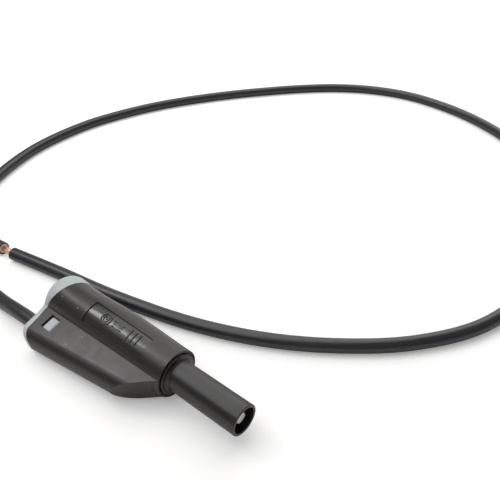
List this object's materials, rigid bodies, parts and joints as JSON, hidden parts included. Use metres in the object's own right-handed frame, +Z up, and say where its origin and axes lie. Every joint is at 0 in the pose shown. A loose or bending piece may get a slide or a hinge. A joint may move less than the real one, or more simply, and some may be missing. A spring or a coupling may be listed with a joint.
{
  "type": "stackable safety banana plug test lead",
  "caption": "Black stackable safety plug with a fixed insulating sleeve and grey rear cap, on a flexible test cable whose far end is half stripped to bare copper.",
  "frame": {"origin": "on the pin's axis in the plane of the sleeve's shoulder, where the plug stops against a socket", "axes": "+X along the pin towards its tip, +Z up from the table that the lead lies on, the cable barrel on the -Y side"},
  "size_m": [0.1979, 0.2211, 0.0139],
  "materials": {
    "housing": "fine satin spark texture, moulded polyamide",
    "sleeve": "satin moulded polyamide",
    "cap": "satin moulded polyamide, light grey",
    "nickel": "nickel plated, turned",
    "brass": "stamped, bare",
    "copper": "bare drawn copper strands",
    "jacket": "smooth satin cable jacket",
    "core_insulation": "smooth, off white"
  },
  "bodies": {
    "root": {"housing": "housing", "insulating_sleeve": "sleeve", "contact_pin": "nickel", "contact_cage": "nickel", "bridge_plate": "brass", "crimp_sleeve": "nickel", "socket_insulator": "sleeve", "rear_cap": "cap", "plug_end_insulation": "core_insulation", "plug_end_conductor": "copper", "cable": "jacket", "bare_strands": "copper", "slug_jacket": "jacket", "slug_insulation": "core_insulation"}
  },
  "joints": []
}
